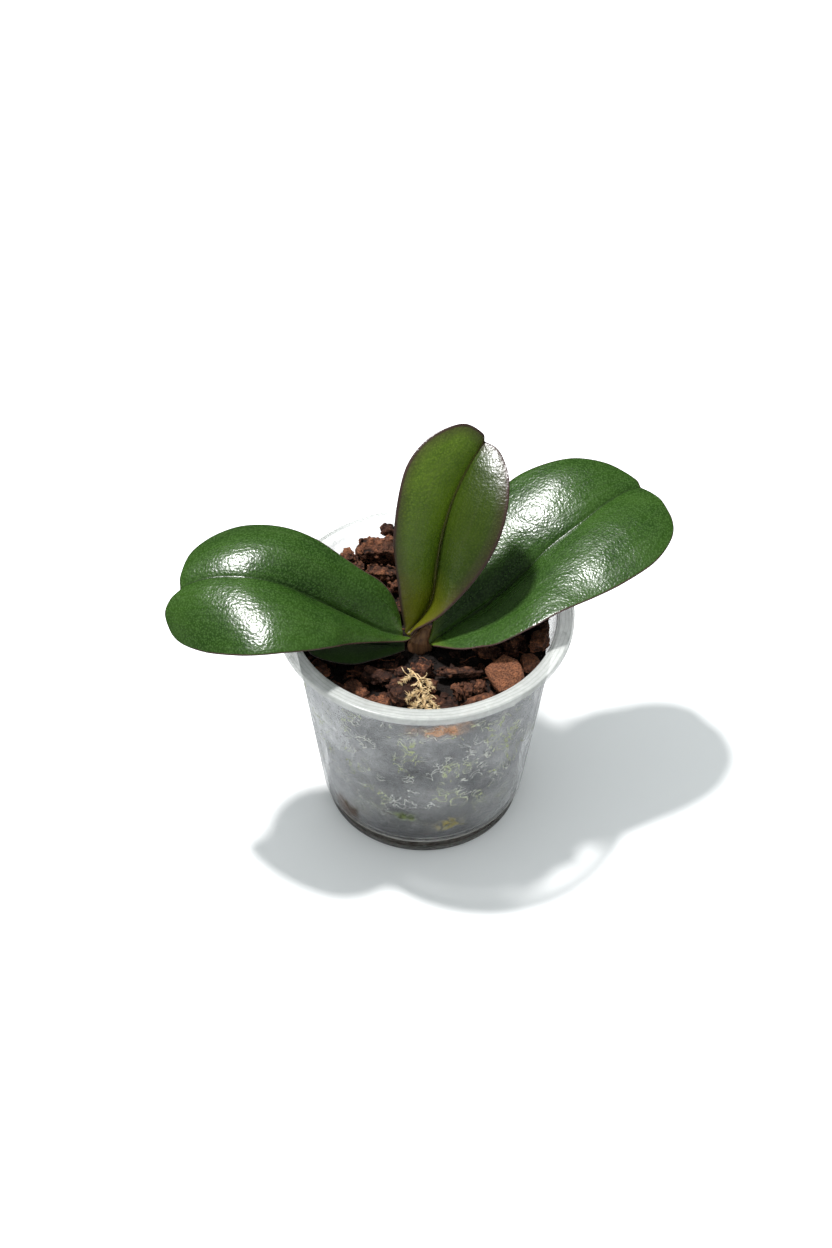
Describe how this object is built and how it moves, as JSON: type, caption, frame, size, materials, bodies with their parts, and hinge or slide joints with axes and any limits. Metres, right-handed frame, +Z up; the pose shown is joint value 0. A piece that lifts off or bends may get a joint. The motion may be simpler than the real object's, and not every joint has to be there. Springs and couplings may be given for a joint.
{
  "type": "potted orchid",
  "caption": "Young moth orchid without a flower: broad arched leaves round an upright centre leaf, growing in chunky bark in a clear flanged nursery pot.",
  "frame": {"origin": "centre of the pot's flat bottom, on the pot's axis", "axes": "+Z up along the pot's axis; +X towards the right-hand leaf and -X towards the left-hand leaf, so X is the widest direction; +Y towards the back"},
  "size_m": [0.2074, 0.124, 0.1882],
  "materials": {
    "clear_plastic": "clear, slightly milky, glossy",
    "bark": "rough, dark reddish brown",
    "dry_moss": "dry, matte, straw coloured",
    "stem_skin": "matte, brown",
    "root_skin": "matte, silvery green",
    "leaf_green": "satin, dark green, finely pebbled",
    "young_leaf_green": "satin, yellow-green",
    "old_leaf_green": "satin, very dark green"
  },
  "bodies": {
    "root": {"clear_pot": "clear_plastic", "bark_mix": "bark", "bark_chip_01": "bark", "bark_chip_02": "bark", "bark_chip_03": "bark", "bark_chip_04": "bark", "bark_chip_05": "bark", "bark_chip_06": "bark", "bark_chip_07": "bark", "bark_chip_08": "bark", "bark_chip_09": "bark", "bark_chip_10": "bark", "bark_chip_11": "bark", "bark_chip_12": "bark", "bark_chip_13": "bark", "bark_chip_14": "bark", "bark_chip_15": "bark", "bark_chip_16": "bark", "bark_chip_17": "bark", "bark_chip_18": "bark", "bark_chip_19": "bark", "bark_chip_20": "bark", "bark_chip_21": "bark", "bark_chip_22": "bark", "bark_chip_23": "bark", "bark_chip_24": "bark", "bark_chip_25": "bark", "bark_chip_26": "bark", "bark_chip_27": "bark", "bark_chip_28": "bark", "bark_chip_29": "bark", "bark_chip_30": "bark", "bark_chip_31": "bark", "bark_chip_32": "bark", "bark_chip_33": "bark", "bark_chip_34": "bark", "bark_chip_35": "bark", "bark_chip_36": "bark", "bark_chip_37": "bark", "bark_chip_38": "bark", "bark_chip_39": "bark", "bark_chip_40": "bark", "bark_chip_41": "bark", "bark_chip_42": "bark", "moss_strand": "dry_moss", "stem": "stem_skin", "root_01": "root_skin", "root_02": "root_skin", "root_03": "root_skin", "root_04": "root_skin", "root_05": "root_skin", "leaf_left": "leaf_green", "leaf_right": "leaf_green", "leaf_centre": "young_leaf_green", "leaf_old": "old_leaf_green"}
  },
  "joints": []
}
